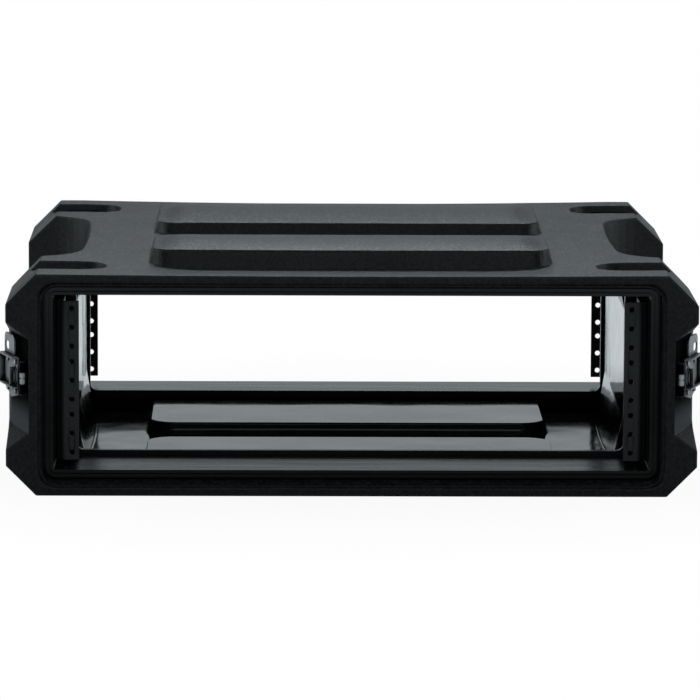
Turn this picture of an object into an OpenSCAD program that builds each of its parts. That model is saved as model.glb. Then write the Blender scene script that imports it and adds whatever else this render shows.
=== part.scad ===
// Portable 3U equipment rack case with its lids off.
// Millimetres, X across, Y from front to back, Z up, origin under the middle of the case.

/* [Rack bay] */
// Rack units that the bay takes
rack_units = 3; // [2:1:6]
// Front rail face to rear rail face
rail_span = 482.6; // [400:0.1:600]
// Thickness of the bar that packs each rail out from the end frame
spacer_w = 6.5; // [5:0.1:12]
// Height left free above and below each rail
rail_end_gap = 6.5; // [4:0.1:12]
// Distance from the case's end face in to the rail face
rail_setback = 32; // [26:0.5:45]

/* [Moulded shell] */
// Wall thickness of the moulding
wall = 5; // [3.5:0.1:6]
// Width of the end face beside the opening
rim_w = 30.1; // [28:0.1:38]
// Height of the end face above and below the opening
rim_h = 10.2; // [9:0.1:14]
// Size of the 45 degree cut along the four long edges
corner_cut = 25; // [15:0.5:35]
// Chamfer around each end opening
mouth_chamfer = 4; // [2:0.1:5]
// Thickness of the solid land behind each mouth
land_t = 7; // [6:0.1:9]

/* [Stacking ribs] */
// Half length of a rib's top face
rib_half_len = 167; // [120:1:200]
// Distance from the front end face to the front rib
front_rib_start = 88; // [84:1:110]
// Depth of the front rib's base
front_rib_run = 118; // [80:1:130]
// Gap between the two ribs
rib_gap = 78; // [60:1:100]
// Depth of the rear rib's base
rear_rib_run = 161; // [120:1:165]
// Sideways lean of a rib's walls, base to top
rib_lean = 6; // [3:0.5:10]
// Room for a rib in the base of the case above
stack_gap = 0.5; // [0.3:0.1:1.5]

/* [Hand channels] */
// Depth of the channel at mid height, from the case's side
channel_depth = 48; // [42:0.5:52]
// How far the channel wall leans in at the top and base
channel_lean = 9; // [4:0.5:9]
// Half length of the channel's inner wall
channel_half_run = 137; // [134:1:144]
// Extra half length at the outside
channel_flare = 17; // [8:1:25]
// Radius in the channel's corners
channel_corner_r = 55; // [20:1:56]

/* [Latches] */
// Depth of the latch scoop at the end face
scoop_depth = 19; // [16:0.5:22]
// Angle between the scoop's floor and the case's side
scoop_angle = 17; // [14:0.5:20]
// Half height of the scoop's floor
scoop_half_h = 36; // [30:0.5:42]
// Scoop centre above mid height
scoop_rise = 2.8; // [0:0.1:6]
// Latch centre above the scoop centre
latch_rise = 3; // [0:0.1:5]
// Sheet thickness of the latch parts
latch_sheet = 1.2; // [1:0.1:1.4]
// Room between sliding latch parts
slide_gap = 0.2; // [0.15:0.05:0.3]
// Crank arm of the thumb turn
crank_r = 6; // [5:0.1:6.5]
// Angle through which the thumb turn goes
turn_angle = 100; // [80:1:110]
// Diameter of the thumb turn's shaft
turn_shaft_d = 7; // [6:0.1:8]

/* [Rails and hardware] */
// Sheet thickness of the rack rails
rail_t = 2; // [1.5:0.1:2.5]
// Width of the rail's drilled face
rail_face_w = 14.5; // [13.5:0.1:15]
// Depth of the rail's side flange
rail_flange = 40; // [34:1:46]
// Diameter of the equipment screw holes
rail_hole_d = 4.5; // [4:0.1:5]
// Rail bolt shank
bolt_d = 5; // [4:0.5:6]
// Wall thickness of the end frames
valance_wall = 2.5; // [2:0.1:3]
// Width of an end frame's lip
lip_w = 6.2; // [5.5:0.1:7]
// Width of the groove that takes the lid's tongue
groove_w = 2.2; // [1.8:0.1:3]
// Rivet shank
rivet_d = 3.2; // [2.8:0.1:3.4]

/* [Handles] */
// Diameter of the bail rod
bail_d = 10; // [8:0.5:11]
// Pivot to grip distance
bail_drop = 50; // [44:1:56]
// Pivot distance from the channel wall
bail_offset = 16; // [15.5:0.5:18]
// Distance from mid depth to each bail arm
bail_half_w = 58; // [50:1:62]
// Diameter of the rubber grip
grip_d = 25; // [20:0.5:26]

/* [Hidden] */
// One rack unit and its three hole heights, from the 19-inch rack standard
unit_h = 44.45;
unit_holes = [6.35, 22.225, 38.1];
// Half the standard distance between the two rows of rack holes
hole_x = 465.1 / 2;
// Distance from a rail's inner edge to its row of holes, which leaves the standard clear width of 453 mm
hole_edge = 6.05;
rail_inner_x = hole_x - hole_edge;
// Radial running clearance of a turning shaft
run_gap = 0.05;
// Radial clearance of a fixed fastener in its hole
hole_gap = 0.25;
// A small overlap that keeps cuts clean
over = 1;

rail_h = rack_units * unit_h;
rail_outer_x = rail_inner_x + rail_face_w;
bay_w = 2 * (rail_outer_x + spacer_w);
bay_h = rail_h + 2 * rail_end_gap;
mouth_w = bay_w + 2 * (lip_w + groove_w);
mouth_h = bay_h + 2 * (lip_w + groove_w);
body_w = mouth_w + 2 * rim_w;
body_h = mouth_h + 2 * rim_h;
body_d = rail_span + 2 * rail_setback;
mid_z = body_h / 2;
channel_x = body_w / 2 - channel_depth;
rail_y = rail_span / 2;
mouth_r = 10;
lip_r = 8;
bay_r = 1.5;

// The end frames: lip ahead of the rail face, flange behind the moulded land
lip_ahead = 11;
flange_t = 4;
land_d = rail_setback - flange_t;
collar_run = 68;
bead_t = 6;
bead_w = 462;
bead_drop = 4;
bead_r = 6;
valance_len = lip_ahead + collar_run + bead_t;
flange_edge = 1;
// The narrow groove that parts the lip's two ridges
ridge_gap = 1;
ridge_depth = 3;
ridge_w = (lip_w - ridge_gap) / 2;

// The stacking recess is as deep as the frame above it allows
sill_h = rim_h + groove_w + lip_w;
recess_h = sill_h - valance_wall - wall - 0.6;
rib_h = recess_h - stack_gap;
rib_r = 22;
front_rib_y = front_rib_start - body_d / 2 + front_rib_run / 2;
rear_rib_y = front_rib_y + (front_rib_run + rear_rib_run) / 2 + rib_gap;

// The four round-ended grooves that run out of the top's corners
groove_len = 81.5;
groove_tip_x = body_w / 2 - groove_len;
groove_run = 52;
groove_depth = 8;
groove_lean = 2;
groove_r = 22;
groove_inset = 64.3;
groove_y = body_d / 2 - groove_inset;

// Latch layout on the scoop floor: s runs back from the end face, n stands off the floor
scoop_lean = 0.784;
scoop_x = body_w / 2 - scoop_depth;
scoop_z = mid_z + scoop_rise;
latch_z = scoop_z + latch_rise;
latch_s0 = 14;
latch_s1 = 58;
latch_half_h = 14.6;
cover_up = 16;
cover_sill = 8.4;
tray_h = 4.5;
bolt_half_h = 9.5;
side_bar_w = 4.8;
turn_s = 22;
hook_s = 5;
barrel_d = 5;
barrel_half_h = 13;
roller_half_h = 5;
hook_pin_d = 2.4;
crank_pin_d = 4;
crank_play = 0.5;
disc_d = 16;
boss_d = 16;
boss_h = 1;
bolt_n = latch_sheet + slide_gap;
bolt_t = 1.5;
disc_n = bolt_n + bolt_t + slide_gap;
cover_n = disc_n + latch_sheet + slide_gap;
cover_top = cover_n + latch_sheet;
boss_top = cover_top + boss_h;
stroke = 2 * crank_r * sin(turn_angle / 2);
latch_rivet_s = [19, 44];
latch_rivet_v = latch_half_h - side_bar_w / 2;

rail_bolt_step = 0.36 * rail_h;
rail_bolt_back = 22;

handle_z = mid_z + 8;
pivot_x = channel_x + bail_offset;
bracket_gap = 1;
bracket_y0 = bail_half_w + bail_d / 2 + bracket_gap;
bracket_block = 16;
bracket_len = 34;
bracket_half_h = 22;
bracket_t = 3;
handle_rivet_d = 5;
handle_rivet_deep = wall - 1.2;
handle_rivet_z = 14;

sides = [-1, 1];
$fn = 48;

function unit(v) = v / norm(v);

// Points of an arc of radius r that rounds the corner b between a and c
function arc_at(a, b, c, r, steps = 8) =
    let(u = unit(a - b), w = unit(c - b), half = acos(u * w) / 2)
    let(centre = b + unit(u + w) * r / sin(half))
    let(p = b + u * r / tan(half) - centre, q = b + w * r / tan(half) - centre)
    let(start = atan2(p[1], p[0]), turn = atan2(q[1], q[0]) - start)
    let(sweep = turn > 180 ? turn - 360 : turn < -180 ? turn + 360 : turn)
    [for (i = [0:steps]) centre + r * [cos(start + sweep * i / steps), sin(start + sweep * i / steps)]];

module rounded_rect(w, h, r) {
    square([w - 2 * r, h], center = true);
    square([w, h - 2 * r], center = true);
    for (x = sides, y = sides) {
        translate([x * (w / 2 - r), y * (h / 2 - r)]) circle(r);
    }
}

// Stands a flat XZ drawing upright at mid height and runs it from y0 to y1
module along_y(y0, y1) {
    translate([0, y1, mid_z]) rotate([90, 0, 0]) linear_extrude(y1 - y0) children();
}

module mirror_x(side) {
    mirror([side < 0 ? 1 : 0, 0, 0]) children();
}

// Places a front right corner's piece at any of the four corners
module at_corner(side, end) {
    mirror_x(side) mirror([0, end > 0 ? 1 : 0, 0]) children();
}

// Stands children on a scoop floor: X is off the floor, Y runs back along it, Z is up
module on_scoop(side, end, z) {
    at_corner(side, end) translate([scoop_x, -body_d / 2, z]) rotate([0, 0, -scoop_angle]) children();
}

// A cylinder that stands along X
module rod_x(x0, x1, d) {
    translate([x0, 0, 0]) rotate([0, 90, 0]) cylinder(d = d, h = x1 - x0);
}

// A cylinder that stands along Y
module rod_y(y0, y1, d) {
    translate([0, y1, 0]) rotate([90, 0, 0]) cylinder(d = d, h = y1 - y0);
}

// The case's eight-sided section, moved in by inset
module section(inset) {
    x = body_w / 2 - inset;
    z = body_h / 2 - inset;
    cut = corner_cut - inset * (2 - sqrt(2));
    polygon([[x, z - cut], [x - cut, z], [cut - x, z], [-x, z - cut],
        [-x, cut - z], [cut - x, -z], [x - cut, -z], [x, cut - z]]);
}

// A raised pad with leaning walls and coned corners, from z = 0 up to height h
module pad(half_len, run, h, lean, r) {
    a = half_len + lean;
    b = run / 2;
    rotate([90, 0, 0]) linear_extrude(run - 2 * r, center = true)
        polygon([[-a, 0], [a, 0], [a - lean, h], [lean - a, h]]);
    rotate([90, 0, 90]) linear_extrude(2 * (a - r), center = true)
        polygon([[-b, 0], [b, 0], [b - lean, h], [lean - b, h]]);
    for (x = sides, y = sides) {
        translate([x * (a - r), y * (b - r), 0]) cylinder(r1 = r, r2 = r - lean, h = h);
    }
}

// Both ribs of the lid side, hollowed ones when inset is the wall
module ribs(inset) {
    base = body_h - 2 * inset;
    for (place = [[front_rib_y, front_rib_run], [rear_rib_y, rear_rib_run]]) {
        translate([0, place[0], base])
            pad(rib_half_len - inset, place[1] - 2 * inset, rib_h + inset, rib_lean, rib_r - inset);
    }
}

// The two recesses in the base that sit over the ribs of a case below
module recesses(grow) {
    plan = stack_gap + grow;
    for (place = [[front_rib_y, front_rib_run], [rear_rib_y, rear_rib_run]]) {
        translate([0, place[0], 0])
            pad(rib_half_len + plan, place[1] + 2 * plan, recess_h + grow, rib_lean, rib_r + plan);
    }
}

// The hand channel in one side, open above and below
module channel(side, grow) {
    inner = channel_x - grow;
    far = body_w;
    half_run = channel_half_run + grow;
    flare = channel_flare * (far - inner) / (body_w / 2 - channel_x);
    lean_z = body_h / 4;
    a = [far, -half_run - flare];
    b = [inner - channel_lean, -half_run];
    c = [inner - channel_lean, half_run];
    d = [far, half_run + flare];
    mirror_x(side) intersection() {
        translate([0, 0, -over]) linear_extrude(body_h + 2 * over)
            polygon(concat([a], arc_at(a, b, c, channel_corner_r), arc_at(b, c, d, channel_corner_r), [d]));
        along_y(-body_d / 2, body_d / 2)
            polygon([[far, -mid_z - over], [inner - channel_lean, -mid_z - over],
                [inner - channel_lean, -mid_z], [inner, -lean_z], [inner, lean_z],
                [inner - channel_lean, mid_z], [inner - channel_lean, mid_z + over], [far, mid_z + over]]);
    }
}

// The slanted scoop at one corner that a latch stands in
module scoop(side, end, grow) {
    reach = 60;
    half = scoop_half_h + grow * sqrt(1 + pow(scoop_lean, 2));
    on_scoop(side, end, scoop_z) rotate([90, 0, 0]) translate([0, 0, -2 * reach])
        linear_extrude(3 * reach)
        polygon([[-grow, -half + scoop_lean * grow], [-grow, half - scoop_lean * grow],
            [reach, half + scoop_lean * reach], [reach, -half - scoop_lean * reach]]);
}

// The groove that runs in from the side of the top, an upturned pad
module corner_groove(side, end, grow) {
    half_len = 80;
    at_corner(side, end) translate([groove_tip_x + half_len, -groove_y, body_h]) mirror([0, 0, 1])
        pad(half_len - groove_lean + grow, groove_run + 2 * grow, groove_depth + grow, groove_lean, groove_r + grow);
}

module hollows(grow) {
    for (side = sides) {
        channel(side, grow);
        for (end = sides) {
            scoop(side, end, grow);
            corner_groove(side, end, grow);
        }
    }
    recesses(grow);
}

// The moulding's outside, or the space inside it when inset is the wall
module body(inset) {
    difference() {
        union() {
            along_y(inset - body_d / 2, body_d / 2 - inset) section(inset);
            ribs(inset);
        }
        hollows(inset);
    }
}

// A rounded opening of the end frame, from y0 to y1
module mouth(y0, y1, w, h, r) {
    along_y(y0, y1) rounded_rect(w, h, r);
}

// Chamfer cut at the front mouth
module mouth_edge() {
    hull() {
        mouth(-body_d / 2 - 0.1, -body_d / 2, mouth_w + 2 * mouth_chamfer, mouth_h + 2 * mouth_chamfer,
            mouth_r + mouth_chamfer, $fn = 32);
        mouth(-body_d / 2 + mouth_chamfer, -body_d / 2 + mouth_chamfer + 0.1, mouth_w, mouth_h, mouth_r, $fn = 32);
    }
}

// Screw places on an end frame's flange, as [x, z]
screw_x = mouth_w / 2 + land_t / 2;
screw_z = mouth_h / 2 + (rim_h - wall) / 2;
screw_steps = [-1.5, -0.5, 0.5, 1.5];
screw_places = concat(
    [for (x = sides, step = screw_steps) [x * screw_x, step * bay_h / 4]],
    [for (step = screw_steps, z = sides) [step * bay_w / 5, z * screw_z]]);
screw_d = 3;
screw_head_d = 4.6;
screw_len = 16;

module screw_holes() {
    for (end = sides, place = screw_places) {
        at_corner(1, end) translate([place[0], -rail_y - flange_t - screw_len, mid_z + place[1]])
            rod_y(0, screw_len + over, screw_d);
    }
}

module latch_rivet_at(side, end) {
    for (s = latch_rivet_s, v = sides) {
        on_scoop(side, end, latch_z) translate([0, s, v * latch_rivet_v]) children();
    }
}

module handle_rivet_at(side) {
    for (y = sides, z = sides) {
        mirror_x(side) translate([channel_x, y * (bracket_y0 + bracket_len - 8), handle_z + z * handle_rivet_z])
            children();
    }
}

module shell() {
    color("#1b1c1d") difference() {
        union() {
            difference() {
                body(0);
                body(wall);
            }
            for (end = sides) {
                at_corner(1, end) intersection() {
                    mouth(-body_d / 2, -body_d / 2 + land_d, mouth_w + 2 * land_t, body_h - wall, mouth_r + land_t);
                    along_y(-body_d / 2, 0) section(wall / 2);
                }
            }
        }
        for (end = sides) {
            at_corner(1, end) {
                mouth(-body_d / 2 - over, -body_d / 2 + land_d + over, mouth_w, mouth_h, mouth_r);
                mouth_edge();
            }
        }
        screw_holes();
        for (side = sides) {
            handle_rivet_at(side) rod_x(-handle_rivet_deep, wall, handle_rivet_d);
            for (end = sides) {
                latch_rivet_at(side, end) rod_x(-2 * wall, wall, rivet_d);
            }
        }
    }
}

// One end frame: ridged lip, screw flange, collar and inner bead
module valance(end) {
    front = -rail_y - lip_ahead;
    flange_y = -rail_y - flange_t;
    back = front + valance_len;
    parting = ridge_w + ridge_gap;
    color("#131415") at_corner(1, end) difference() {
        union() {
            mouth(front, flange_y + over, bay_w + 2 * lip_w, bay_h + 2 * lip_w, lip_r);
            mouth(flange_y, -rail_y, mouth_w + 2 * (land_t - flange_edge),
                mouth_h + 2 * (rim_h - wall - flange_edge / 2), mouth_r);
            mouth(flange_y, back, bay_w + 2 * valance_wall, bay_h + 2 * valance_wall, bay_r + valance_wall);
        }
        mouth(front - over, back - bead_t, bay_w, bay_h, bay_r);
        mouth(front, back + over, bead_w, bay_h - 2 * bead_drop, bead_r);
        difference() {
            mouth(front - over, front + ridge_depth, bay_w + 2 * parting, bay_h + 2 * parting, lip_r - ridge_w);
            mouth(front - 2 * over, front + ridge_depth + over, bay_w + 2 * ridge_w, bay_h + 2 * ridge_w,
                lip_r - parting);
        }
        for (place = screw_places) {
            translate([place[0], flange_y - over, mid_z + place[1]])
                rod_y(0, flange_t + 2 * over, screw_d + 2 * hole_gap);
        }
        for (side = sides) {
            rail_bolt_at(side, -1) rod_x(bay_w / 2 - over, bay_w / 2 + 2 * valance_wall, bolt_d + 2 * hole_gap);
        }
    }
}

module valance_screws() {
    color("#55585a") for (end = sides, place = screw_places) {
        at_corner(1, end) translate([place[0], -rail_y - flange_t - screw_len, mid_z + place[1]]) {
            rod_y(0, screw_len + flange_t, screw_d);
            translate([0, screw_len + flange_t, 0]) difference() {
                rod_y(0, 2.2, screw_head_d);
                rod_y(1, 3, screw_d / 2, $fn = 6);
            }
        }
    }
}

// Places a rail bolt, with its axis along X through the rail's side flange
module rail_bolt_at(side, end) {
    for (step = [-1, 0, 1]) {
        at_corner(side, end) translate([0, -rail_y + rail_bolt_back, mid_z + step * rail_bolt_step]) children();
    }
}

// One folded steel rail with the rack's hole spacing in its face
module rail(side, end) {
    bend = 3;
    color("#2a2c2e") difference() {
        at_corner(side, end) translate([rail_inner_x, -rail_y, mid_z - rail_h / 2]) linear_extrude(rail_h) {
            square([rail_face_w - bend, rail_t]);
            translate([rail_face_w - rail_t, bend]) square([rail_t, rail_flange - bend]);
            translate([rail_face_w - bend, bend]) intersection() {
                difference() {
                    circle(bend);
                    circle(bend - rail_t);
                }
                translate([0, -bend]) square(bend);
            }
        }
        for (u = [0:rack_units - 1], h = unit_holes) {
            at_corner(side, end) translate([hole_x, -rail_y - over, mid_z - rail_h / 2 + u * unit_h + h])
                rod_y(0, rail_t + 2 * over, rail_hole_d);
        }
        rail_bolt_at(side, end) rod_x(rail_inner_x, rail_outer_x + over, bolt_d + 2 * hole_gap);
    }
}

// The ribbed bar that packs a rail out from the end frame
module spacer(side, end) {
    recess = 6;
    notch = 2;
    color("#3a3c3e") difference() {
        at_corner(side, end) translate([rail_outer_x, -rail_y + recess, mid_z - rail_h / 2])
            linear_extrude(rail_h) difference() {
                square([spacer_w, rail_flange - recess]);
                translate([-over, -over]) square([notch + over, recess + over]);
                for (x = [0.55 * spacer_w, 0.77 * spacer_w]) {
                    translate([x, 0]) rotate(45) square(0.8, center = true);
                }
            }
        rail_bolt_at(side, end) rod_x(rail_outer_x - over, bay_w / 2 + over, bolt_d + 2 * hole_gap);
    }
}

washer_t = 1;
nut_t = 4;
head_h = 2.8;

module rail_bolts() {
    inside = rail_outer_x - rail_t;
    nut_end = bay_w / 2 + valance_wall + washer_t + nut_t + 1;
    color("#8b8e90") for (side = sides, end = sides) {
        rail_bolt_at(side, end) difference() {
            union() {
                rod_x(inside - head_h, inside, 1.9 * bolt_d);
                rod_x(inside, nut_end, bolt_d);
            }
            rod_x(inside - head_h - over, inside - head_h + 1.6, 0.6 * bolt_d, $fn = 6);
        }
    }
}

module rail_washers() {
    color("#9a9da0") for (side = sides, end = sides) {
        rail_bolt_at(side, end) translate([bay_w / 2 + valance_wall, 0, 0]) difference() {
            rod_x(0, washer_t, 2 * bolt_d);
            rod_x(-over, washer_t + over, bolt_d + hole_gap);
        }
    }
}

module rail_nuts() {
    color("#8b8e90") for (side = sides, end = sides) {
        rail_bolt_at(side, end) translate([bay_w / 2 + valance_wall + washer_t, 0, 0]) difference() {
            rod_x(0, nut_t, 1.8 * bolt_d, $fn = 6);
            rod_x(-over, nut_t + over, bolt_d + hole_gap);
        }
    }
}

module plate(n, s, v, size) {
    translate([n, s, v]) cube(size);
}

// Latch floor plate with the two side bars that carry the cover
module latch_base(side, end) {
    length = latch_s1 - latch_s0;
    color("#303234") difference() {
        on_scoop(side, end, latch_z) {
            plate(0, 1, -latch_half_h, [latch_sheet, latch_s1, 2 * latch_half_h]);
            for (v = [-latch_half_h, latch_half_h - side_bar_w]) {
                plate(0, latch_s0, v, [cover_n, length, side_bar_w]);
            }
        }
        latch_rivet_at(side, end) rod_x(-over, cover_n + over, rivet_d);
    }
}

// Latch cover: a tray with three upturned edges, a padlock ear above it and a riveted tab below
module latch_cover(side, end) {
    length = latch_s1 - latch_s0;
    edge_t = latch_sheet + tray_h;
    ear_s = 41;
    ear_half = 16;
    ear_h = 17;
    ear_r = 6;
    slot_s = 48;
    slot_v = cover_up + 6.5;
    slot_r = 3.6;
    slot_half = 3;
    tab_tip_s = 36;
    tab_drop = 19.5;
    tab_front = 15;
    color("#7d8082") difference() {
        on_scoop(side, end, latch_z) {
            translate([cover_n, 0, 0]) rotate([90, 0, 90]) linear_extrude(latch_sheet) {
                polygon([[latch_s0, cover_up], [latch_s1, cover_up], [latch_s1, -cover_sill - latch_sheet],
                    [tab_tip_s, -tab_drop], [latch_s0, -tab_front]]);
                translate([ear_s, cover_up + ear_h / 2 - ear_r])
                    rounded_rect(2 * ear_half, ear_h + 2 * ear_r, ear_r);
            }
            for (v = [cover_up - latch_sheet, -cover_sill - latch_sheet]) {
                plate(cover_n, latch_s0, v, [edge_t, length, latch_sheet]);
            }
            plate(cover_n, latch_s1 - latch_sheet, -cover_sill - latch_sheet,
                [edge_t, latch_sheet, cover_up + cover_sill + latch_sheet]);
            translate([cover_top, turn_s, 0]) rod_x(-0.5, boss_h, boss_d);
        }
        on_scoop(side, end, latch_z) {
            translate([0, turn_s, 0]) rod_x(cover_n - over, boss_top + over, turn_shaft_d + 2 * run_gap);
            translate([cover_n - over, slot_s, slot_v]) {
                for (step = [-slot_half, slot_half]) {
                    translate([0, step, 0]) rod_x(0, latch_sheet + 2 * over, 2 * slot_r);
                }
                translate([0, -slot_half, -slot_r]) cube([latch_sheet + 2 * over, 2 * slot_half, 2 * slot_r]);
            }
        }
        latch_rivet_at(side, end) rod_x(cover_n - over, cover_top + over, rivet_d);
    }
}

// Sliding hook plate with a crank slot and a rolled front edge
module latch_drawbolt(side, end) {
    pin_s = turn_s + stroke / 2;
    slot_w = crank_pin_d + 2 * crank_play;
    slot_v0 = crank_r * cos(turn_angle / 2) - slot_w / 2;
    slot_v1 = crank_r + slot_w / 2;
    tail_s = pin_s + slot_w / 2 + 6;
    barrel_n = bolt_n + barrel_d / 2;
    color("#a9acae") on_scoop(side, end, latch_z) difference() {
        union() {
            plate(bolt_n, hook_s, -bolt_half_h, [bolt_t, tail_s - hook_s, 2 * bolt_half_h]);
            translate([barrel_n, hook_s, -barrel_half_h]) cylinder(d = barrel_d, h = 2 * barrel_half_h);
        }
        translate([barrel_n, hook_s, -barrel_half_h - over])
            cylinder(d = hook_pin_d + 2 * hole_gap, h = 2 * (barrel_half_h + over));
        plate(bolt_n - over, pin_s - slot_w / 2, slot_v0, [bolt_t + 2 * over, slot_w, slot_v1 - slot_v0]);
        plate(bolt_n - over, hook_s - barrel_d, -roller_half_h, [2 * barrel_d, 1.6 * barrel_d, 2 * roller_half_h]);
    }
}

// Pin in the rolled edge with two rollers, headed at both ends
module latch_hook_pin(side, end) {
    head_t = 1.4;
    roller_d = barrel_d - 0.6;
    roller_gap = 0.5;
    color("#c9cbcc") on_scoop(side, end, latch_z) translate([bolt_n + barrel_d / 2, hook_s, 0]) {
        cylinder(d = hook_pin_d, h = 2 * (barrel_half_h + head_t), center = true);
        for (v = [-barrel_half_h - head_t, barrel_half_h]) {
            translate([0, 0, v]) cylinder(d = barrel_d - 0.8, h = head_t);
        }
        for (v = [roller_gap - roller_half_h, roller_gap]) {
            translate([0, 0, v]) cylinder(d = roller_d, h = roller_half_h - 2 * roller_gap);
        }
    }
}

// Thumb turn: grip blade, flange, shaft and crank in one piece
module latch_thumb_turn(side, end) {
    flange_t = 1;
    flange_n = boss_top + slide_gap;
    blade_h = 2.6;
    blade_half = 6;
    blade_t = 3.2;
    color("#b4b7b9") on_scoop(side, end, latch_z) translate([0, turn_s, 0]) {
        rod_x(disc_n, disc_n + latch_sheet, disc_d);
        rod_x(disc_n, flange_n, turn_shaft_d);
        rod_x(flange_n, flange_n + flange_t, 0.8 * disc_d);
        translate([bolt_n + slide_gap, crank_r * sin(turn_angle / 2), crank_r * cos(turn_angle / 2)])
            rod_x(0, disc_n - bolt_n + slide_gap, crank_pin_d);
        plate(flange_n, -blade_t / 2, -blade_half, [flange_t + blade_h, blade_t, 2 * blade_half]);
        for (v = [-blade_half, blade_half]) {
            translate([flange_n, 0, v]) rod_x(0, flange_t + blade_h, blade_t);
        }
    }
}

// Domed rivets through cover, side bars and moulding
module latch_rivets() {
    head_d = 4.8;
    head_t = 1.4;
    tail_t = 1.6;
    color("#8f9294") for (side = sides, end = sides) {
        latch_rivet_at(side, end) {
            rod_x(-wall - tail_t, cover_top + head_t, rivet_d);
            rod_x(cover_top, cover_top + head_t, head_d);
            rod_x(-wall - tail_t, -wall, head_d);
        }
    }
}

// Two pivot blocks with their mounting feet
module handle_brackets(side) {
    foot_r = 5;
    color("#26282a") mirror_x(side) for (end = sides) {
        mirror([0, end < 0 ? 1 : 0, 0]) difference() {
            union() {
                translate([channel_x, bracket_y0 + bracket_len / 2, handle_z]) rotate([90, 0, 90])
                    linear_extrude(bracket_t) rounded_rect(bracket_len, 2 * bracket_half_h, foot_r);
                translate([channel_x, bracket_y0, handle_z - bail_d])
                    cube([bail_offset, bracket_block, 2 * bail_d]);
                translate([pivot_x, bracket_y0, handle_z]) rod_y(0, bracket_block, 2 * bail_d);
            }
            translate([pivot_x, bracket_y0 - over, handle_z])
                rod_y(0, bracket_block, bail_d + 2 * run_gap);
            for (z = sides) {
                translate([channel_x, bracket_y0 + bracket_len - 8, handle_z + z * handle_rivet_z])
                    rod_x(-over, bracket_t + over, handle_rivet_d);
            }
        }
    }
}

// Bent rod with a stub at each end that turns in its bracket
module handle_bail(side) {
    stub = bracket_y0 + bracket_block - 2 * over - bail_half_w;
    color("#707375") mirror_x(side) translate([pivot_x, 0, handle_z]) {
        translate([0, 0, -bail_drop]) rod_y(-bail_half_w, bail_half_w, bail_d);
        for (end = sides) {
            translate([0, end * bail_half_w, -bail_drop]) {
                cylinder(d = bail_d, h = bail_drop);
                sphere(d = bail_d);
            }
            mirror([0, end < 0 ? 1 : 0, 0]) translate([0, bail_half_w, 0]) {
                sphere(d = bail_d);
                rod_y(0, stub, bail_d);
            }
        }
    }
}

// Rubber sleeve with finger grooves
module handle_grip(side) {
    length = 1.6 * bail_half_w;
    grooves = 3;
    pitch = length / (grooves + 1);
    groove_ring = 14;
    groove_depth = 1.6;
    color("#17181a") mirror_x(side) translate([pivot_x, 0, handle_z - bail_drop]) difference() {
        rod_y(-length / 2, length / 2, grip_d);
        rod_y(-length / 2 - over, length / 2 + over, bail_d + 2 * run_gap);
        for (i = [1:grooves]) {
            translate([0, i * pitch - length / 2, 0]) rotate([90, 0, 0]) rotate_extrude()
                translate([grip_d / 2 + groove_ring - groove_depth, 0]) circle(groove_ring);
        }
    }
}

// Drive rivets that hold the brackets, in blind holes so that the inside of the wall stays whole
module handle_rivets() {
    head_t = 2;
    color("#26282a") for (side = sides) {
        handle_rivet_at(side) {
            rod_x(-handle_rivet_deep, bracket_t + head_t, handle_rivet_d);
            rod_x(bracket_t, bracket_t + head_t, 2 * handle_rivet_d);
        }
    }
}

shell();
valance(-1);  // front_valance
valance(1);  // rear_valance
valance_screws();
rail(-1, -1);  // rail_front_left
rail(1, -1);  // rail_front_right
rail(-1, 1);  // rail_rear_left
rail(1, 1);  // rail_rear_right
spacer(-1, -1);  // spacer_front_left
spacer(1, -1);  // spacer_front_right
spacer(-1, 1);  // spacer_rear_left
spacer(1, 1);  // spacer_rear_right
rail_bolts();
rail_washers();
rail_nuts();
latch_base(-1, -1);  // latch_front_left_base
latch_cover(-1, -1);  // latch_front_left_cover
latch_drawbolt(-1, -1);  // latch_front_left_drawbolt
latch_hook_pin(-1, -1);  // latch_front_left_hook_pin
latch_thumb_turn(-1, -1);  // latch_front_left_thumb_turn
latch_base(1, -1);  // latch_front_right_base
latch_cover(1, -1);  // latch_front_right_cover
latch_drawbolt(1, -1);  // latch_front_right_drawbolt
latch_hook_pin(1, -1);  // latch_front_right_hook_pin
latch_thumb_turn(1, -1);  // latch_front_right_thumb_turn
latch_base(-1, 1);  // latch_rear_left_base
latch_cover(-1, 1);  // latch_rear_left_cover
latch_drawbolt(-1, 1);  // latch_rear_left_drawbolt
latch_hook_pin(-1, 1);  // latch_rear_left_hook_pin
latch_thumb_turn(-1, 1);  // latch_rear_left_thumb_turn
latch_base(1, 1);  // latch_rear_right_base
latch_cover(1, 1);  // latch_rear_right_cover
latch_drawbolt(1, 1);  // latch_rear_right_drawbolt
latch_hook_pin(1, 1);  // latch_rear_right_hook_pin
latch_thumb_turn(1, 1);  // latch_rear_right_thumb_turn
latch_rivets();
handle_brackets(-1);  // handle_left_brackets
handle_bail(-1);  // handle_left_bail
handle_grip(-1);  // handle_left_grip
handle_brackets(1);  // handle_right_brackets
handle_bail(1);  // handle_right_bail
handle_grip(1);  // handle_right_grip
handle_rivets();
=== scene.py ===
# %% [markdown]
# # A moulded equipment rack case, dressed in Blender
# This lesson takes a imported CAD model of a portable 19-inch rack case and gives it its looks.
# The CAD gives every size and every joint. Blender adds what a drawing leaves out: the soft
# edges of a moulding, the grain of its skin, gloss, plating, rubber and light.

# %% Load the CAD frame
import math

import bpy
import numpy as np
from mathutils import Matrix, Vector


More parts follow.
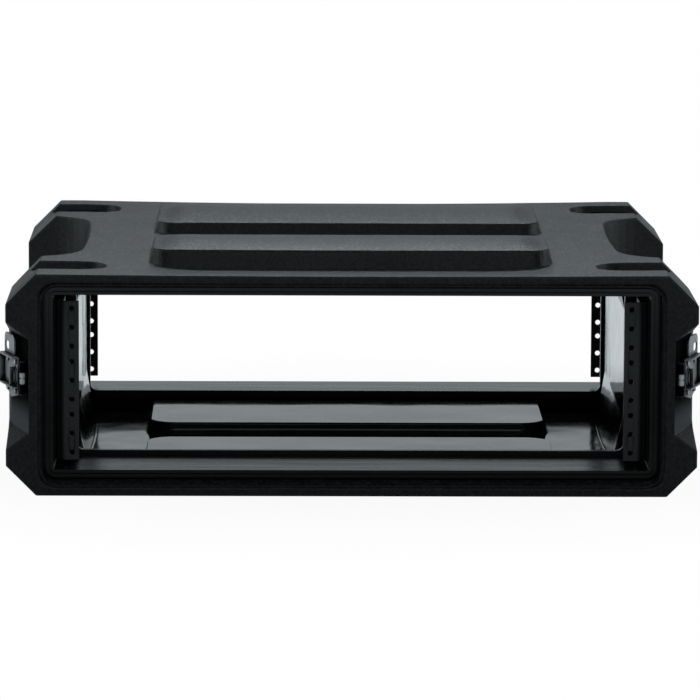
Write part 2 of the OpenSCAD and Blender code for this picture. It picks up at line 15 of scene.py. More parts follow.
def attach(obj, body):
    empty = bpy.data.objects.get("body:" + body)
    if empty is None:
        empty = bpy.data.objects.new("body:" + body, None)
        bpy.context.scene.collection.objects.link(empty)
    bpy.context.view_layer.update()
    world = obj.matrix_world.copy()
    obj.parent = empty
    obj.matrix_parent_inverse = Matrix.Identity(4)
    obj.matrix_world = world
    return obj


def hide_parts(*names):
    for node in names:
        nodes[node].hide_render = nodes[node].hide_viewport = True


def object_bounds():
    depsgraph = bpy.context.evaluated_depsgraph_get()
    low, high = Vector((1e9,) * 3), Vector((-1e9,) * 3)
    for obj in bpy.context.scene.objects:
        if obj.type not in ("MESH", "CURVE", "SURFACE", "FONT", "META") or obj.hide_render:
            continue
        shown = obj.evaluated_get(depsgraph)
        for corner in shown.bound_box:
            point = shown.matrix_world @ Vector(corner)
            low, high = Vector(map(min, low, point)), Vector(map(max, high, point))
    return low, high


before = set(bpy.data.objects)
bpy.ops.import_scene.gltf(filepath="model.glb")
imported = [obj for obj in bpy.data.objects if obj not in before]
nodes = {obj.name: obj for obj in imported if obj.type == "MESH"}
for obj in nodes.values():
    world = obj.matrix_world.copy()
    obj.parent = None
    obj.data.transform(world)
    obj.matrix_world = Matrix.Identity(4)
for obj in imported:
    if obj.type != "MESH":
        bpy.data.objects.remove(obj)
scene = bpy.context.scene
cad_low, cad_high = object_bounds()
print("CAD box in mm:", [round(1000 * (b - a), 1) for a, b in zip(cad_low, cad_high)])

# %% [markdown]
# ## The camera
# A product shot of a wide, low case is taken from far away with a long lens, a little above it.
# Such a camera could be placed by eye, but the rack's holes have standard distances, so its place
# and turn were worked out from them instead. The turns are applied in the order a tripod head
# has them: pan, tilt, then roll. A Blender camera looks down its own -Z axis, so a quarter turn
# about X first makes it look along +Y.

# %% Camera
MM = 0.001
FRAME_PIXELS = 700
focal_pixels = 5497.8
camera_place = Vector((-62.38, -4761.70, 760.70)) * MM
pan, tilt, roll = (math.radians(angle) for angle in (-0.7721, -8.0913, -0.2609))

camera_data = bpy.data.cameras.new("studio_camera")
camera_data.sensor_width = 36
camera_data.lens = camera_data.sensor_width * focal_pixels / FRAME_PIXELS
camera_data.clip_end = 100
camera = bpy.data.objects.new("studio_camera", camera_data)
scene.collection.objects.link(camera)
head = Matrix.Rotation(pan, 4, "Z") @ Matrix.Rotation(tilt, 4, "X") @ Matrix.Rotation(roll, 4, "Y")
camera.matrix_world = Matrix.Translation(camera_place) @ head @ Matrix.Rotation(math.pi / 2, 4, "X")
scene.camera = camera
print("Camera lens in mm:", round(camera_data.lens, 1))

# %% [markdown]
# ## A helper for shader nodes
# Every material below is a small network of nodes. One function adds a node, sets its own fields,
# and fills or links its sockets, so that a network reads as a list of steps. Colours are written
# as sRGB hex values, the way a colour picker shows them, and turned into the linear light values
# that the shader works in.

# %% Node and colour helpers
def linear(hex_colour):
    """sRGB hex, such as "1c1d1e", as a linear RGBA colour."""
    channels = [int(hex_colour[i:i + 2], 16) / 255 for i in (0, 2, 4)]
    return [c / 12.92 if c <= 0.04045 else ((c + 0.055) / 1.055) ** 2.4 for c in channels] + [1.0]


def add(tree, kind, fields=None, **sockets):
    """Adds a node. Sockets are named with _ for a space, or i0, i1 for their number."""
    made = tree.nodes.new("ShaderNode" + kind)
    for name, value in (fields or {}).items():
        setattr(made, name, value)
    for name, value in sockets.items():
        numbered = name[0] == "i" and name[1:].isdigit()
        socket = made.inputs[int(name[1:])] if numbered else made.inputs[name.replace("_", " ")]
        if isinstance(value, bpy.types.NodeSocket):
            tree.links.new(value, socket)
        else:
            socket.default_value = value
    return made


def new_material(name):
    """An empty node material and its tree."""
    made = bpy.data.materials.new(name)
    made.use_nodes = True
    made.node_tree.nodes.clear()
    return made, made.node_tree


print("Middle grey in linear light:", round(linear("808080")[0], 3))

# %% [markdown]
# ## The floor
# The picture is a catalogue shot on a white sweep, and a large pale floor that takes the case's
# shadow stands for it. If the case mirrored all the white that the camera sees, it would look
# washed out. So the floor shows one thing to the camera and another to reflections, told apart by
# the kind of ray that meets it. The camera sees it lifted to white, a little less close to the
# case so that the shadow stays. Reflections see it bright behind the case, dark ahead of it and
# bright again farther ahead.

# %% Floor
floor_half = 30.0
floor_mesh = bpy.data.meshes.new("studio_floor")
floor_corners = [(x * floor_half, y * floor_half, 0) for x, y in ((-1, -1), (1, -1), (1, 1), (-1, 1))]
floor_mesh.from_pydata(floor_corners, [], [(0, 1, 2, 3)])
floor = bpy.data.objects.new("studio_floor", floor_mesh)
scene.collection.objects.link(floor)
print("Floor width in m:", 2 * floor_half)

# %% Floor paint
# Places are in metres from the case's middle: along Y, or all around for the shadow.
cool_white = "f1fbff"
plain_white = "ffffff"
behind_start, behind_full = 0.2, 0.5
ahead_start, ahead_full = -0.35, -0.6
far_ahead_start, far_ahead_full = -1.2, -1.5
shadow_start, shadow_end = 0.25, 0.6
shadow_lift = 0.93
behind_glow, ahead_glow, far_ahead_glow = 0.9, 0.04, 0.6
multiply = {"operation": "MULTIPLY"}

floor_paint, tree = new_material("pale_floor_paint")
rays = add(tree, "LightPath").outputs
where = add(tree, "TexCoord").outputs["Object"]
along = add(tree, "SeparateXYZ", Vector=where).outputs["Y"]
away = add(tree, "VectorMath", {"operation": "LENGTH"}, i0=where).outputs["Value"]
ahead = add(tree, "MapRange", Value=along, From_Min=ahead_start, From_Max=ahead_full).outputs[0]
behind = add(tree, "MapRange", Value=along, From_Min=behind_start, From_Max=behind_full).outputs[0]
lift = add(tree, "MapRange", Value=away, From_Min=shadow_start, From_Max=shadow_end,
           To_Min=shadow_lift, To_Max=1.0).outputs[0]
front_glow = add(tree, "MapRange", Value=along, From_Min=far_ahead_start, From_Max=far_ahead_full,
                 To_Min=ahead_glow, To_Max=far_ahead_glow).outputs[0]
layers = [
    ("Is Glossy Ray", ahead, cool_white, front_glow),
    ("Is Glossy Ray", behind, cool_white, behind_glow),
    ("Is Camera Ray", lift, plain_white, 1.0),
]
paint = add(tree, "BsdfDiffuse", Color=linear("e2e2e2")).outputs[0]
for ray, zone, colour, strength in layers:
    share = add(tree, "Math", multiply, i0=rays[ray], i1=zone).outputs[0]
    shine = add(tree, "Emission", Color=linear(colour), Strength=strength).outputs[0]
    paint = add(tree, "MixShader", i0=share, i1=paint, i2=shine).outputs[0]
add(tree, "OutputMaterial", Surface=paint)
floor_mesh.materials.append(floor_paint)
print("Layers on the floor's paint:", len(layers))

# %% [markdown]
# ## A white card
# Photographers put white cards where a glossy thing should mirror something bright. A low one
# behind this case lights up its glossy inside. A lamp could do that too, but it would also light
# the top. The card glows for reflections only: to all other rays it is clear.

# %% White card
card_half, card_y, card_high = 1.2, 1.3, 0.34
card_glow = 0.55
card_mesh = bpy.data.meshes.new("white_card")
card_corners = [(x * card_half, card_y, z * card_high) for x, z in ((-1, 0), (1, 0), (1, 1), (-1, 1))]
card_mesh.from_pydata(card_corners, [], [(0, 1, 2, 3)])
card = bpy.data.objects.new("white_card", card_mesh)
scene.collection.objects.link(card)

card_paint, tree = new_material("white_card")
rays = add(tree, "LightPath").outputs
clear = add(tree, "BsdfTransparent").outputs[0]
shine = add(tree, "Emission", Color=linear(cool_white), Strength=card_glow).outputs[0]
seen = add(tree, "MixShader", i0=rays["Is Glossy Ray"], i1=clear, i2=shine).outputs[0]
add(tree, "OutputMaterial", Surface=seen)
card_mesh.materials.append(card_paint)
print("Card height in m:", card_high)

# %% [markdown]
# ## The world
# To the camera the world is plain white, like the sweep. For reflections it is brightest low behind
# the case and dim elsewhere, as a studio with dark walls is. The light that it sheds comes mostly
# from the front. A picture of a studio could be wrapped around the scene instead, but three ramps
# say the same and are easy to change. A direction is a vector one long, so its Y says how far it
# points to the back, and its Z how far it points up.

# %% World
back_start, back_full = 0.6, 0.93
back_dim, back_bright = 0.1, 0.22
low_end, high_start = 0.17, 0.3
low_share, high_share = 1.0, 0.1
fill_start, fill_end = -0.9, 0.2
front_fill, back_fill = 0.14, 0.03

world = bpy.data.worlds.new("white_studio")
scene.world = world
world.use_nodes = True
tree = world.node_tree
tree.nodes.clear()
rays = add(tree, "LightPath").outputs
toward = add(tree, "SeparateXYZ", Vector=add(tree, "TexCoord").outputs["Generated"]).outputs
back = add(tree, "MapRange", Value=toward["Y"], From_Min=back_start, From_Max=back_full,
           To_Min=back_dim, To_Max=back_bright).outputs[0]
low = add(tree, "MapRange", Value=toward["Z"], From_Min=low_end, From_Max=high_start,
          To_Min=low_share, To_Max=high_share).outputs[0]
mirrored = add(tree, "Math", multiply, i0=back, i1=low).outputs[0]
fill = add(tree, "MapRange", Value=toward["Y"], From_Min=fill_start, From_Max=fill_end,
           To_Min=front_fill, To_Max=back_fill).outputs[0]
strength = add(tree, "MapRange", Value=rays["Is Glossy Ray"], To_Min=fill, To_Max=mirrored).outputs[0]
studio = add(tree, "Background", Color=linear(cool_white), Strength=strength).outputs[0]
white = add(tree, "Background", Color=linear(plain_white), Strength=1.0).outputs[0]
sky = add(tree, "MixShader", i0=rays["Is Camera Ray"], i1=studio, i2=white).outputs[0]
add(tree, "OutputWorld", Surface=sky)
print("World nodes:", len(tree.nodes))

# %% [markdown]
# ## Soft boxes
# Large lamps give soft light. The strongest one stands high behind the case, so that the top is
# grey with bright rims and the front nearly black. Weaker ones stand above, in front and at both
# sides. They differ only in place, aim, size and power, so a table holds them and a loop makes
# them. Their light is slightly cool.

# %% Soft boxes
# For each one its place, the point it faces and its size in metres, and its power in watts
soft_boxes = {
    "overhead_soft_box": ((0, 0.7, 1.9), (0, 0, 0.1), (2.0, 1.0), 6),
    "rear_soft_box": ((0, 2.2, 2.0), (0, 0, 0.1), (1.4, 0.6), 14.5),
    "front_soft_box": ((0, -2.1, 1.6), (0, -0.1, 0.15), (2.0, 1.4), 4.4),
    "left_soft_box": ((-2.4, 0.3, 1.1), (0, 0, 0.1), (1.8, 0.8), 8),
    "right_soft_box": ((2.4, 0.3, 1.1), (0, 0, 0.1), (1.8, 0.8), 8),
}
for name, (place, aim, size, power) in soft_boxes.items():
    lamp = bpy.data.lights.new(name, "AREA")
    lamp.shape = "RECTANGLE"
    lamp.size, lamp.size_y = size
    lamp.energy = power
    lamp.color = linear(cool_white)[:3]
    soft_box = bpy.data.objects.new(name, lamp)
    scene.collection.objects.link(soft_box)
    soft_box.location = place
    soft_box.rotation_mode = "QUATERNION"
    soft_box.rotation_quaternion = (Vector(aim) - Vector(place)).to_track_quat("-Z", "Y")
scene.view_settings.view_transform = "Standard"
print("Soft boxes:", len(soft_boxes))

# %% [markdown]
# ## Moulded polyethylene, outside
# The shell is black polyethylene, moulded against a grained tool. The grain gives the outside a
# matt, finely speckled look that turns grey where it faces the light. The real grain is about
# 0.5 mm wide. It is drawn at 2.2 mm, and longer from front to back, so that it shows at this
# picture's scale on a top seen at a low angle. Wide, faint patches stand for the uneven gloss of a
# large moulding. Edges are painted a little paler, a painted highlight along them, and the grain's
# tips on upward faces are painted paler too, a painted sheen on the top.

# %% Grained polyethylene
grain_mm = 2.2
patch_mm = 60
grain_stretch = (1, 0.4, 1)
tip_stretch = (1, 0.25, 1)
colours = {"data_type": "RGBA"}

shell_plastic, tree = new_material("grained_polyethylene")
where = add(tree, "TexCoord").outputs["Object"]
surface = add(tree, "NewGeometry").outputs
longer = add(tree, "Mapping", Vector=where, Scale=grain_stretch).outputs[0]
grain = add(tree, "TexNoise", Vector=longer, Scale=1000 / grain_mm, Detail=2.0,
            Roughness=0.6).outputs["Fac"]
speck = add(tree, "MapRange", Value=grain, From_Min=0.35, From_Max=0.68).outputs[0]
tone = add(tree, "Mix", colours, i0=speck, i6=linear("101112"), i7=linear("2b2d2f")).outputs[2]
# Painted highlight: convex edges, found by pointiness, are painted paler.
painted_edge_highlight = add(tree, "MapRange", Value=surface["Pointiness"], From_Min=0.51, From_Max=0.58).outputs[0]
tone = add(tree, "Mix", colours, i0=painted_edge_highlight, i6=tone, i7=linear("404244")).outputs[2]

# Painted sheen: on upward faces the grain's tips are painted paler.
longer = add(tree, "Mapping", Vector=where, Scale=tip_stretch).outputs[0]
tips = add(tree, "TexNoise", Vector=longer, Scale=1000 / grain_mm, Detail=1.0).outputs["Fac"]
tips = add(tree, "MapRange", Value=tips, From_Min=0.5, From_Max=0.68).outputs[0]
up = add(tree, "SeparateXYZ", Vector=surface["Normal"]).outputs["Z"]
level = add(tree, "MapRange", Value=up, From_Min=0.8, From_Max=0.95).outputs[0]
painted_tip_sheen = add(tree, "Math", multiply, i0=tips, i1=level).outputs[0]
tone = add(tree, "Mix", colours, i0=painted_tip_sheen, i6=tone, i7=linear("4e5052")).outputs[2]

patch = add(tree, "TexNoise", Vector=where, Scale=1000 / patch_mm, Detail=3.0,
            Roughness=0.55).outputs["Fac"]
gloss = add(tree, "MapRange", Value=patch, From_Min=0.3, From_Max=0.7, To_Min=0.4, To_Max=0.47).outputs[0]
bump = add(tree, "Bump", Strength=0.9, Distance=0.0006, Height=grain).outputs[0]
plastic = add(tree, "BsdfPrincipled", Base_Color=tone, Roughness=gloss, IOR=1.5, Normal=bump)
add(tree, "OutputMaterial", Surface=plastic.outputs[0])
print("Grain width in mm:", grain_mm)

# %% [markdown]
# ## Moulded polyethylene, inside
# The inner skin never touched the tool, so it set smooth and glossy, with the slow waves of a
# surface that cooled freely. Seen along its length it mirrors the white studio. The waves could be
# modelled, but as a bump they cost no faces.

# %% Glossy polyethylene
wave_mm = 90
haze_mm = 18
inner_plastic, tree = new_material("glossy_polyethylene")
where = add(tree, "TexCoord").outputs["Object"]
wave = add(tree, "TexNoise", Vector=where, Scale=1000 / wave_mm, Detail=1.0, Roughness=0.4).outputs["Fac"]
haze = add(tree, "TexNoise", Vector=where, Scale=1000 / haze_mm, Detail=3.0, Roughness=0.6).outputs["Fac"]
tone = add(tree, "Mix", colours, i0=haze, i6=linear("121314"), i7=linear("1b1c1e")).outputs[2]
gloss = add(tree, "MapRange", Value=haze, From_Min=0.3, From_Max=0.7, To_Min=0.08, To_Max=0.14).outputs[0]
bump = add(tree, "Bump", Strength=0.8, Distance=0.002, Height=wave).outputs[0]
plastic = add(tree, "BsdfPrincipled", Base_Color=tone, Roughness=gloss, IOR=1.5, Normal=bump)
add(tree, "OutputMaterial", Surface=plastic.outputs[0])
print("Wave length in mm:", wave_mm)

# %% [markdown]
# ## Moulded polyethylene, latch pockets, with painted shade
# A third, dead matt finish belongs to the pockets behind the latches. It swallows the light, and
# its near-black colour is painted shade, since the pockets lie in shade behind the latches.
# Towards the pockets' open lower ends it is painted paler, a painted pool of light.

# %% Matt polyethylene with painted shade
painted_shade_z, painted_light_z = 0.085, 0.056
soft_step = {"interpolation_type": "SMOOTHERSTEP"}
pocket_plastic_painted_shade, tree = new_material("matt_polyethylene_painted_shade")
where = add(tree, "TexCoord").outputs["Object"]
grain = add(tree, "TexNoise", Vector=where, Scale=1000 / grain_mm, Detail=2.0).outputs["Fac"]
# Painted shade: the pocket's tone is near black.
tone = add(tree, "Mix", colours, i0=grain, i6=linear("060606"), i7=linear("0c0c0d")).outputs[2]
height = add(tree, "SeparateXYZ", Vector=where).outputs["Z"]
# Painted pool of light: the pocket is painted paler below these heights.
painted_lit = add(tree, "MapRange", soft_step, Value=height, From_Min=painted_shade_z, From_Max=painted_light_z).outputs[0]
tone = add(tree, "Mix", colours, i0=painted_lit, i6=tone, i7=linear("6a6c6e")).outputs[2]
bump = add(tree, "Bump", Strength=0.4, Distance=0.0002, Height=grain).outputs[0]
plastic = add(tree, "BsdfPrincipled", Base_Color=tone, Roughness=0.95, Specular_IOR_Level=0.05, Normal=bump)
add(tree, "OutputMaterial", Surface=plastic.outputs[0])
print("Pockets are rubbed below, in mm:", 1000 * painted_shade_z)

# %% [markdown]
# ## The shell
# CAD edges are knife sharp, but a moulding has none: plastic can't fill a sharp corner. Rounding
# hundreds of edges one by one would be slow, and bevels fail where many faces meet. Instead a copy
# of the CAD shell is rebuilt from small cells that keep its edges, and a little smoothing then
# rounds all edges at once, flats staying flat.

# %% Rebuild the shell from cells
def as_mesh(piece):
    """Replaces a piece's modifiers by the mesh that they make."""
    made = bpy.data.meshes.new_from_object(piece.evaluated_get(bpy.context.evaluated_depsgraph_get()))
    piece.modifiers.clear()
    piece.data = made
    return made


cell_depth = 9
rounding_steps = 2
shell_mesh = nodes["shell"].data.copy()
shell_skin = bpy.data.objects.new("shell_skin", shell_mesh)
scene.collection.objects.link(shell_skin)
weld = shell_skin.modifiers.new("weld", "WELD")
weld.merge_threshold = 0.001 * MM
cells = shell_skin.modifiers.new("cells", "REMESH")
cells.mode = "SHARP"
cells.octree_depth = cell_depth
cells.scale = 0.9
cells.use_remove_disconnected = False
rounding = shell_skin.modifiers.new("rounding", "SMOOTH")
rounding.factor = 0.5
rounding.iterations = rounding_steps
shell_mesh = as_mesh(shell_skin)
print("Cell faces:", len(shell_mesh.polygons))

# %% [markdown]
# ## Signs of a large moulding
# A big sheet of hot plastic doesn't cool flat, and its tool isn't as plain as a drawing. Sculpting
# could show that, but a script can't be sculpted twice in the same way. So each sign is a small
# shift of the skin's points, in millimetres, and smooth ramps limit it to its place.

# %% Points and ramps
def ramp(values, low, high):
    """0 below low, 1 above high, smooth between; low may be the larger one."""
    t = np.clip((values - low) / (high - low), 0, 1)
    return t * t * (3 - 2 * t)


def window(values, rise, fall):
    """Goes up from 0 to 1 over the first span, and down again over the second."""
    return ramp(values, rise[0], rise[1]) * ramp(values, fall[1], fall[0])


def dome(values):
    """1 at 0, and down to 0 at -1 and at 1 along a parabola."""
    return np.clip(1 - values ** 2, 0, 1)


spots = np.zeros(3 * len(shell_mesh.vertices))
shell_mesh.vertices.foreach_get("co", spots)
spots = spots.reshape(-1, 3) / MM
x, y, z = spots.T.copy()
side = np.sign(x)
across = np.abs(x)
print("Points of the skin:", len(spots))

# %% [markdown]
# ### The top
# The top's front corners lift and its rear sinks. The strip ahead of the front rib is drawn down.

# %% Shift the top
case_high = cad_high[2] / MM
half_depth = cad_high[1] / MM
rib_height = 10
top_z = case_high - rib_height
mid_z = top_z / 2
ribs = {"front": (-185.3, -67.3), "rear": (10.7, 171.7)}
upper = ramp(z, 145, 170)
flat_top = ramp(z, case_high, top_z) * upper

lift_up = 1.2
lift_x = 261
spots[:, 2] += lift_up * upper * (x / lift_x) ** 2 * ramp(y, 0, -200)

sag = 2.5
sag_x = 240
spots[:, 2] -= sag * flat_top * dome(x / sag_x) * ramp(y, 100, 200)

draw_down = 5.5
rib_front, rib_rear = ribs["front"]
strip = window(y, (-half_depth, rib_front), (-176, rib_rear))
spots[:, 2] -= draw_down * strip * flat_top * ramp(across, 225, 120)
print("Top in mm: lifted", lift_up, "sunk", sag, "drawn down", draw_down)

# %% [markdown]
# ### The ribs
# The stacking ribs are crowned: their tops fall towards their front and rear edges. Their end walls
# are steeper than drawn, so the foot of each one moves in.

# %% Shift the ribs
rib_lean = 6
rib_half_len = 167
crown = 4.5
crown_run = 25
rib_tops = ramp(z, case_high - 4, case_high - 2)
for rib_front, rib_rear in ribs.values():
    rib_half_run = (rib_rear - rib_front) / 2 - rib_lean
    raised = dome((y - (rib_front + rib_rear) / 2) / rib_half_run)
    raised *= ramp(across, rib_half_len, rib_half_len - crown_run)
    spots[:, 2] += crown * raised * rib_tops

foot_in = 3.0
foot = np.clip((case_high - z) / rib_height, 0, 1) * ramp(z, top_z - 3, top_z - 1)
spots[:, 0] -= side * foot_in * foot * window(across, (150, 168), (175, 200))
print("Ribs in mm: crowned", crown, "feet moved in", foot_in)

# %% [markdown]
# ### The sides
# The channel walls bow in, most at the top and base. The lower ends of the latch scoops are drawn
# down, and the rear grooves reach further back than the front ones reach forward.

# %% Shift the channels, scoops and grooves
bow = 2.8
bow_half_len = 110
bowed = window(across, (200, 215), (245, 262)) * dome(y / bow_half_len)
spots[:, 0] -= side * bow * bowed * ramp(np.abs(z - mid_z), 40, 88)

scoop_drop = 6
scoops = ramp(across, 255, 262) * ramp(np.abs(y), 200, 225)
spots[:, 2] -= scoop_drop * window(z, (24, 48), (62, 84)) * scoops

reach = 8
spots[:, 1] += reach * window(y, (200, 235), (235, 262)) * ramp(z, 168, 175)
print("Sides in mm: bowed", bow, "scoops dropped", scoop_drop, "grooves moved", reach)

# %% [markdown]
# ### The floor's panels
# The recesses in the base, which take the ribs of a case below, show inside as two panels. They
# stand proud, and the rear one falls off towards the rear.

# %% Shift the panels
proud = 2.0
fall_off = 3.4
fall_start, fall_run = 100, 70
panel = window(z, (11.5, 14.5), (20, 30)) * ramp(across, 190, 180)
spots[:, 2] += proud * panel * ramp(np.abs(y), 172, 166)
spots[:, 2] -= fall_off * panel * np.clip((y - fall_start) / fall_run, 0, 1) ** 2
shell_mesh.vertices.foreach_set("co", spots.ravel() * MM)
print("Panels in mm: proud", proud, "fall-off", fall_off)

# %% [markdown]
# ### Fewer faces
# Cells of one size put as many faces on a flat as on an edge. Thinning joins those that lie in one
# plane, and normals weighted by area keep the flats evenly shaded.

# %% Thin the skin
faces_kept = 0.1
shell_mesh.polygons.foreach_set("use_smooth", np.ones(len(shell_mesh.polygons), bool))
thin = shell_skin.modifiers.new("thin", "DECIMATE")
thin.ratio = faces_kept
even = shell_skin.modifiers.new("even_shading", "WEIGHTED_NORMAL")
even.weight = 90
shell_mesh = as_mesh(shell_skin)
print("Faces after thinning:", len(shell_mesh.polygons))

# %% [markdown]
# ### Three finishes on one skin
# The shell is one moulding, so it stays one mesh, and each face takes the finish of its place.
# Inner faces look towards the case's middle axis. Pocket faces look out square to the latches,
# which are turned 17 degrees.

# %% Give each face its finish
mouth_y = 244.5
pocket_turn = math.radians(17)
pocket_in, pocket_out = 262, 284
pocket_y = 200
pocket_low = 50
shell_mesh.materials.clear()
for finish in (shell_plastic, inner_plastic, pocket_plastic_painted_shade):
    shell_mesh.materials.append(finish)
count = len(shell_mesh.polygons)
centres = np.zeros(3 * count)
normals = np.zeros(3 * count)
shell_mesh.polygons.foreach_get("center", centres)
shell_mesh.polygons.foreach_get("normal", normals)
x, y, z = centres.reshape(-1, 3).T / MM
nx, ny, nz = normals.reshape(-1, 3).T
across = np.abs(x)
inward = -x * nx + (mid_z - z) * nz
inside = (inward > 4) & (np.abs(y) < mouth_y)
facing = nx * np.sign(x) * math.cos(pocket_turn) + ny * np.sign(y) * math.sin(pocket_turn)
# Pocket faces take the dark finish with painted shade and a painted pool of light.
pocket = (facing > 0.9) & (inward < 0) & (z > pocket_low)
pocket &= (across > pocket_in) & (across < pocket_out) & (np.abs(y) > pocket_y)
finish_numbers = np.where(inside, 1, np.where(pocket, 2, 0))
shell_mesh.polygons.foreach_set("material_index", finish_numbers.astype("int32"))
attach(shell_skin, "case")
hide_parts("shell")
print("Inside faces:", int(inside.sum()), "pocket faces:", int(pocket.sum()))

# %% [markdown]
# ## A bead around each mouth
# The tool's parting edge leaves a fine rounded bead on the bevel around both openings. It is too
# fine for the cells, so a half-round profile is swept around a rounded rectangle.

# %% Points of a bead
mouth_half = (255.9, 81.575)
bead_off = 2.1
bead_half_w = 1.0
bead_high = 1.2
corner_r = 15
bead_steps = 12
half_turn = 6


def bead_points(end):
    """Rings of points across the bead, one ring per step around the rounded rectangle."""
    half_x = mouth_half[0] + bead_off - corner_r
    half_z = mouth_half[1] + bead_off - corner_r
    rings = []
    for corner in range(4):
        corner_x = half_x if corner in (0, 3) else -half_x
        corner_z = half_z if corner in (0, 1) else -half_z
        for step in range(bead_steps + 1):
            turn = math.pi / 2 * (corner + step / bead_steps)
            ring = []
            for i in range(half_turn + 1):
                across_turn = math.pi * i / half_turn
                far = corner_r - bead_half_w * math.cos(across_turn)
                out = half_depth - bead_off + bead_high * math.sin(across_turn)
                up = mid_z + corner_z + far * math.sin(turn)
                ring.append((corner_x + far * math.cos(turn), end * out, up))
            rings.append(ring)
    return rings


print("Rings in a bead:", len(bead_points(1)))

# %% Mouth beads
for name, end in (("front_mouth_bead", -1), ("rear_mouth_bead", 1)):
    rings = bead_points(end)
    points = [tuple(value * MM for value in point) for ring in rings for point in ring]
    wide = half_turn + 1
    faces = []
    for i in range(len(rings)):
        j = (i + 1) % len(rings)
        for k in range(half_turn):
            face = (i * wide + k, j * wide + k, j * wide + k + 1, i * wide + k + 1)
            faces.append(face if end < 0 else face[::-1])
    mesh = bpy.data.meshes.new(name)
    mesh.from_pydata(points, [], faces)
    mesh.polygons.foreach_set("use_smooth", np.ones(len(faces), bool))
    mesh.materials.append(shell_plastic)
    bead = bpy.data.objects.new(name, mesh)
    scene.collection.objects.link(bead)
    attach(bead, "case")
    print(name, "faces:", len(faces))

# %% [markdown]
# ## Finishes of the fittings
# The other pieces keep their CAD shapes, so they only need finishes and slightly broken edges. Each
# finish is a short network: a base colour with some unevenness, a roughness that varies, and a
# bump. One function makes them all, since they differ only in their values. Real brush lines and
# coating texture are too fine for this picture, so the marks are drawn 1 to 5 mm wide. The latches'
# visible plates also have painted shade in their corners.

# %% One function for all finishes
def finish_of(name, dark, pale, rough, mark_mm, bump_mm, metallic=0.0, stretch=(1, 1, 1), painted_shade_mm=0.0):
    """A finish with marks of one size, which may be stretched, and painted shade where surfaces are close.
    """
    made, tree = new_material(name)
    where = add(tree, "TexCoord").outputs["Object"]
    where = add(tree, "Mapping", Vector=where, Scale=stretch).outputs[0]
    marks = add(tree, "TexNoise", Vector=where, Scale=1000 / mark_mm, Detail=3.0,
                Roughness=0.6).outputs["Fac"]
    uneven = add(tree, "MapRange", Value=marks, From_Min=0.3, From_Max=0.7).outputs[0]
    tone = add(tree, "Mix", colours, i0=uneven, i6=linear(dark), i7=linear(pale)).outputs[2]
    # Painted shade: where surfaces are close, the tone is painted near black.
    if painted_shade_mm:
        unshaded = add(tree, "AmbientOcclusion", Distance=painted_shade_mm * MM).outputs["AO"]
        unshaded = add(tree, "MapRange", Value=unshaded, From_Min=0.6, From_Max=0.95).outputs[0]
        tone = add(tree, "Mix", colours, i0=unshaded, i6=linear("050505"), i7=tone).outputs[2]
    gloss = add(tree, "MapRange", Value=uneven, To_Min=rough[0], To_Max=rough[1]).outputs[0]
    bump = add(tree, "Bump", Strength=0.3, Distance=bump_mm * MM, Height=marks).outputs[0]
    shader = add(tree, "BsdfPrincipled", Base_Color=tone, Roughness=gloss, Metallic=metallic, Normal=bump)
    add(tree, "OutputMaterial", Surface=shader.outputs[0])
    return made


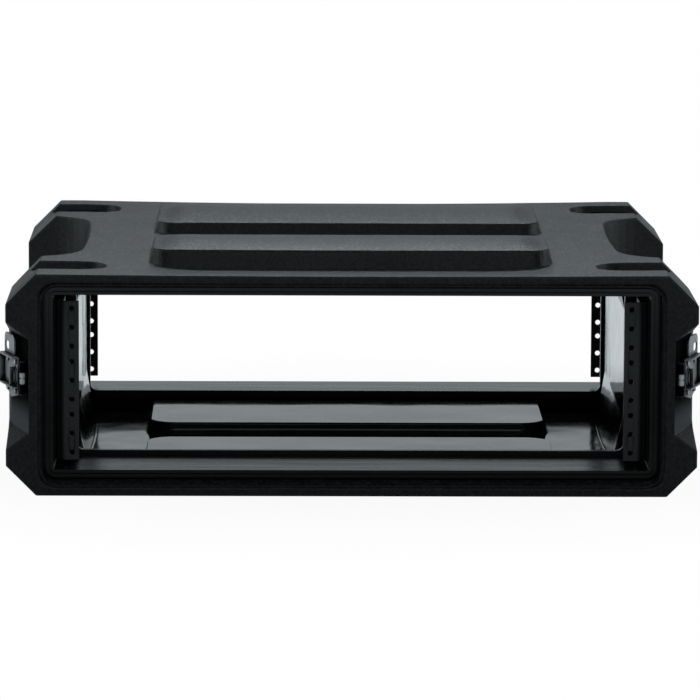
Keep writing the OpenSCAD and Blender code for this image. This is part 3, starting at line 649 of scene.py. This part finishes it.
# %% Finishes
finishes = {
    # Moulded ABS: smooth and glossy, with faint flow lines across the frame's width
    "valance": finish_of("moulded_abs", "131415", "1b1c1d", (0.2, 0.28), 5, 0.05, stretch=(0.04, 1, 1)),
    # Powder coat on steel: an even satin with a slightly pebbled skin
    "rail": finish_of("powder_coated_steel", "3c3e40", "484a4c", (0.4, 0.52), 1.2, 0.05),
    # Black anodised aluminium, pressed through a die: upright lines and a dark sheen
    "spacer": finish_of("anodised_extrusion", "17181a", "222426", (0.3, 0.42), 2, 0.02,
                        metallic=0.6, stretch=(1, 1, 0.04)),
    # Bright zinc: light grey metal that mirrors with a blur
    "fastener": finish_of("bright_zinc_plate", "9a9c9e", "c2c4c6", (0.25, 0.4), 1.5, 0.02, metallic=1.0),
    # Zinc on pressed sheet, dulled by handling: pale and even, with upright rolling lines and painted shade
    # in its corners
    "latch_plate": finish_of("dull_zinc_plated_steel", "acaeb0", "c0c2c4", (0.36, 0.5), 1.2, 0.02,
                             metallic=0.25, stretch=(1, 1, 0.1), painted_shade_mm=6),
    # The same zinc where fingers turn it: darker and without lines, with painted shade in its corners
    "latch_turn": finish_of("satin_zinc_plated_steel", "808284", "929496", (0.36, 0.5), 1.2, 0.02,
                            metallic=0.25, painted_shade_mm=6),
    # Steel from a blackening bath: almost black, with a dull metal sheen
    "latch_frame": finish_of("blackened_steel", "0a0b0b", "141515", (0.5, 0.65), 1.2, 0.03,
                             metallic=1.0),
    # Nickel on turned rollers, painted near white as a painted highlight: the palest spot of the case
    "hook_pin": finish_of("nickel_plate_painted_highlight", "f0f2f4", "f8fafc", (0.15, 0.22), 2, 0.01,
                          metallic=0.2),
    # Sprayed paint on steel: a satin black
    "bracket": finish_of("satin_black_paint", "1b1c1e", "262829", (0.38, 0.5), 1.5, 0.04),
    # Zinc on drawn rod: mid grey metal, with lines from front to back
    "bail": finish_of("zinc_plated_rod", "86888a", "a6a8aa", (0.25, 0.38), 1.5, 0.02,
                      metallic=1.0, stretch=(1, 0.08, 1)),
    # Moulded rubber: black and matt, with a rough skin
    "grip": finish_of("moulded_rubber", "0f1011", "191a1b", (0.6, 0.75), 1.0, 0.12),
}
print("Finishes of the fittings:", len(finishes))

# %% [markdown]
# ## Broken edges
# Sheet is deburred and mouldings have small radii, so no real edge is quite sharp, and a thin line
# of light runs along it. Rebuilding from cells, as for the shell, would lose the small pieces'
# detail, so a bevel breaks their edges, by a width in millimetres that suits the piece. CAD meshes
# come with their faces apart, so each is welded first. The finish follows from a node's name.

# %% Widths and kinds
edge_widths = {
    "valance": 0.5, "rail": 0.4, "spacer": 0.15, "fastener": 0.25,
    "latch_plate": 0.25, "latch_turn": 0.25, "latch_frame": 0.25, "hook_pin": 0.3,
    "bracket": 0.8, "bail": 0.5, "grip": 0.8,
}
kinds = {
    "valance": "valance", "base": "latch_frame", "drawbolt": "latch_frame", "cover": "latch_plate",
    "turn": "latch_turn", "pin": "hook_pin", "brackets": "bracket", "bail": "bail", "grip": "grip",
}


def kind_of(name):
    """The finish that a node's name asks for."""
    if name == "handle_rivets":
        return "bracket"
    first, last = name.split("_")[0], name.split("_")[-1]
    if last in ("left", "right"):
        return first
    return kinds.get(last, "fastener")


print("Kinds of fittings:", sorted({kind_of(name) for name in nodes if name != "shell"}))

# %% Dress the fittings
# The hook pins are painted bright, a painted highlight, only at their two middle rollers, and black at
# their ends.
latch_z = 97.575
roller_half = 8
for name, cad in nodes.items():
    if name == "shell":
        continue
    kind = kind_of(name)
    cad.data.materials.clear()
    cad.data.materials.append(finishes[kind])
    joined = cad.modifiers.new("joined", "WELD")
    joined.merge_threshold = 0.002 * MM
    broken = cad.modifiers.new("broken_edges", "BEVEL")
    broken.limit_method = "ANGLE"
    broken.angle_limit = math.radians(35)
    broken.width = edge_widths[kind] * MM
    broken.segments = 2
    broken.harden_normals = True
    if kind == "hook_pin":
        cad.data.materials.append(finishes["bracket"])
        heights = [face.center.z / MM - latch_z for face in cad.data.polygons]
        at_ends = [int(abs(height) > roller_half) for height in heights]
        cad.data.polygons.foreach_set("material_index", at_ends)
    print(name, "gets", finishes[kind].name)
